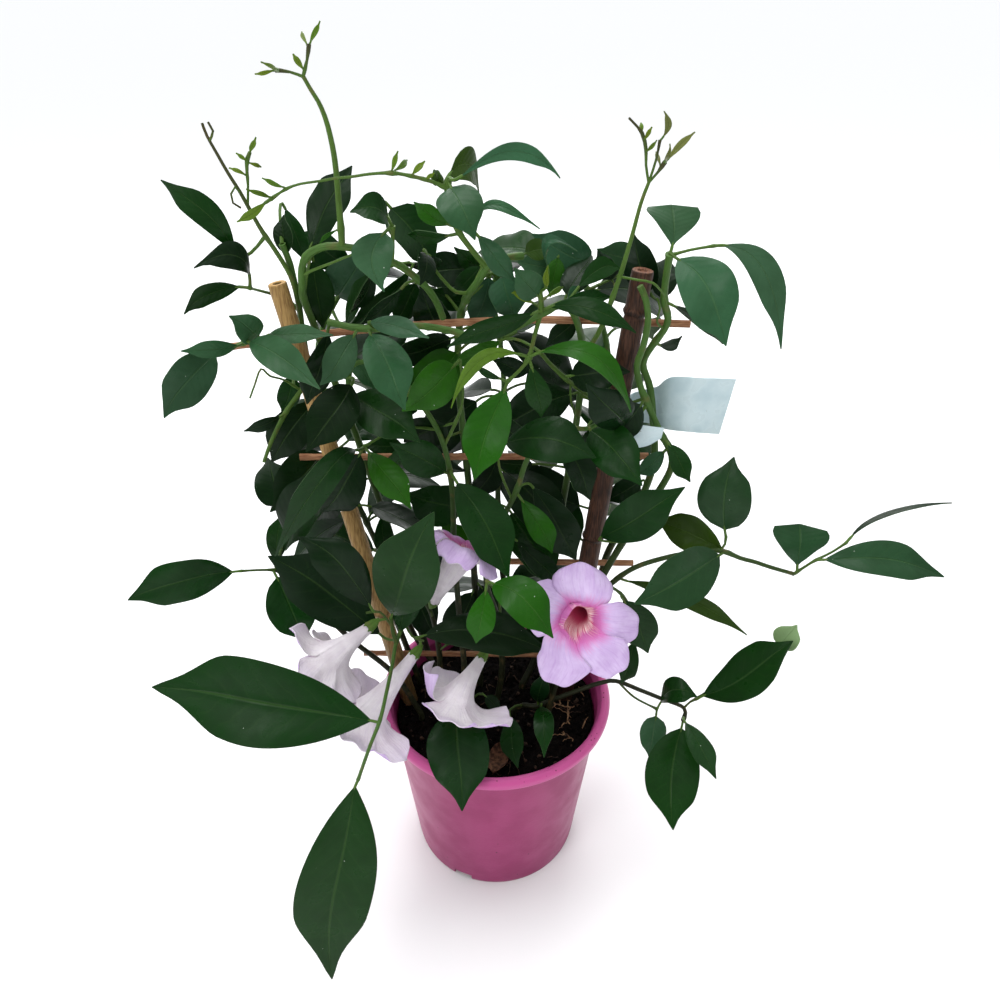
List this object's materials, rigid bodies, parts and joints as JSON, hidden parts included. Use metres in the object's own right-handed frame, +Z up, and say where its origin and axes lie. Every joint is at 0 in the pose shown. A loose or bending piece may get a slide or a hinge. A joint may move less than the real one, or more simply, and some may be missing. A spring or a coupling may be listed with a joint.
{
  "type": "potted climbing vine",
  "caption": "Flowering evergreen climber with pointed glossy leaves and trumpet flowers, twined on a flat cane rack that widens upwards, in a round plastic nursery pot.",
  "frame": {"origin": "centre of the pot's underside, on the surface that the pot stands on", "axes": "+Z up along the pot's axis, -Y towards the front of the rack and of the plant, +X to the right as seen from the front"},
  "size_m": [0.4085, 0.2163, 0.4717],
  "materials": {
    "pot_plastic": "satin moulded plastic, brighter pink on the lip",
    "potting_soil": "moist crumbly potting mix with pale fibres",
    "cane_tan": "dry tan cane with darker joints",
    "cane_dark": "weathered dark brown cane",
    "cane_split": "split reddish cane",
    "label_plastic": "thin bare plastic strip",
    "foliage": "waxy evergreen leaves and smooth green stems",
    "petals": "soft pale lilac petals with a magenta throat"
  },
  "bodies": {
    "root": {"pot": "pot_plastic", "soil": "potting_soil", "stake_left": "cane_tan", "stake_right": "cane_dark", "rung_1": "cane_split", "rung_2": "cane_split", "rung_3": "cane_split", "rung_4": "cane_split", "label": "label_plastic", "vine_left": "foliage", "vine_loop": "foliage", "vine_centre_top": "foliage", "vine_across": "foliage", "vine_right_top": "foliage", "vine_right_inner": "foliage", "vine_mid_left": "foliage", "vine_mid_right": "foliage", "vine_low_left": "foliage", "vine_left_spray": "foliage", "vine_right_spray": "foliage", "vine_low_right": "foliage", "vine_low_centre": "foliage", "vine_back_left": "foliage", "vine_back_middle": "foliage", "vine_back_right": "foliage", "flower_front": "petals", "flower_left": "petals", "flower_low_left": "petals", "flower_low_middle": "petals", "flower_upper": "petals"}
  },
  "joints": []
}
